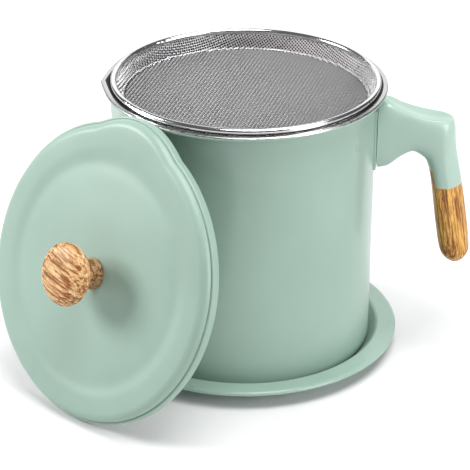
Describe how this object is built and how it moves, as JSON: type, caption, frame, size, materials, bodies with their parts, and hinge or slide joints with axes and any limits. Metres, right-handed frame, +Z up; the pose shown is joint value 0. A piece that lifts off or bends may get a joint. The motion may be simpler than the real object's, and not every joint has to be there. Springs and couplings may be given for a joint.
{
  "type": "bacon grease container",
  "caption": "Round spouted steel grease pot with a side handle, a hanging mesh strainer, a knobbed lid leaning on it and a flanged tray under it.",
  "frame": {"origin": "centre of the tray's underside, on the table", "axes": "+Z up along the pot's axis, the handle towards +X, the spout towards -X"},
  "size_m": [0.2347, 0.2002, 0.1425],
  "materials": {
    "mint_enamel": "satin sage green baked enamel",
    "mint_moulding": "satin sage green moulding",
    "wood_effect": "satin wood-effect print with dark grain",
    "polished_steel": "polished",
    "mesh_steel": "fine woven wire",
    "screw_steel": "plain zinc"
  },
  "bodies": {
    "tray": {"tray": "mint_enamel"},
    "pot": {"pot": "mint_enamel", "handle_bracket": "mint_enamel", "handle": "mint_moulding", "handle_grip": "wood_effect", "handle_screw": "screw_steel"},
    "strainer": {"strainer_ring": "polished_steel", "strainer_wall": "mesh_steel", "strainer_floor": "mesh_steel"},
    "lid": {"lid": "mint_enamel", "knob": "wood_effect", "knob_washer": "screw_steel", "knob_screw": "screw_steel"}
  },
  "joints": [
    {"name": "pot_lift", "type": "slide", "parent": "tray", "child": "pot", "axis": [0, 0, 1], "range_m": [0, 0.03]},
    {"name": "strainer_lift", "type": "slide", "parent": "pot", "child": "strainer", "axis": [0, 0, 1], "range_m": [0, 0.03]},
    {"name": "lid_lift", "type": "slide", "parent": "tray", "child": "lid", "axis": [0, 0, 1], "range_m": [0, 0.06]}
  ]
}
